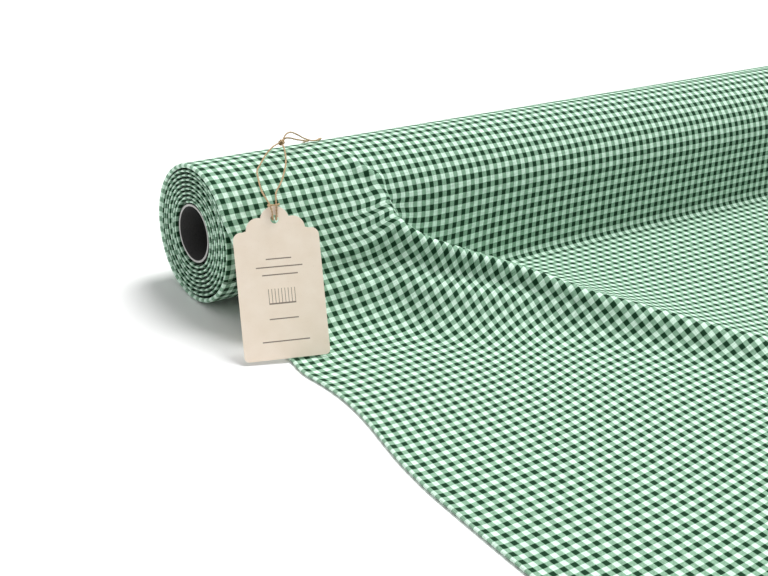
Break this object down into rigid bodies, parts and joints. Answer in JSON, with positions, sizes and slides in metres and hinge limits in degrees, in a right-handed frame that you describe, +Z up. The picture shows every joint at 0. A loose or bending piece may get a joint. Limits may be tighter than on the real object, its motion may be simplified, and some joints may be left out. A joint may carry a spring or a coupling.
{
  "type": "fabric bolt",
  "caption": "Roll of doubled checked cotton on a paper tube, its free end drawn out over the table in a soft fold, with a scalloped card tag on twine.",
  "frame": {"origin": "on the table, under the flat part of the free sheet, half way along the roll and 170 mm in front of its axis", "axes": "+X along the roll, away from the end with the tag; +Y from the free sheet towards the roll; +Z up"},
  "size_m": [0.7751, 0.42, 0.0936],
  "materials": {
    "gingham": "plain-woven yarn-dyed cotton, green and white checks of one eighth of an inch, matt",
    "core_paper": "spirally wound grey paper, matt, with lines where the plies meet",
    "tape": "paper masking tape, slightly crinkled",
    "tag_card": "uncoated cream card, matt",
    "twine": "two-ply jute, hairy and matt"
  },
  "bodies": {
    "cloth": {"outer_turn": "gingham", "free_sheet": "gingham", "twine_left": "twine", "twine_right": "twine", "twine_knot": "twine", "twine_tail_upper": "twine", "twine_tail_lower": "twine"},
    "roll": {"core_tube": "core_paper", "tape_near": "tape", "tape_middle": "tape", "tape_far": "tape", "wound_cloth": "gingham"},
    "tag": {"tag": "tag_card", "twine_hitch": "twine"}
  },
  "joints": [
    {"name": "roll_turn", "type": "hinge", "parent": "cloth", "child": "roll", "pos_m": [0, 0.17, 0.04], "axis": [1, 0, 0], "continuous": true},
    {"name": "tag_swing", "type": "hinge", "parent": "cloth", "child": "tag", "pos_m": [-0.36232, 0.11718, 0.0779], "axis": [-0.9505, 0.3091, -0.0324], "range_deg": [0, 75]}
  ]
}
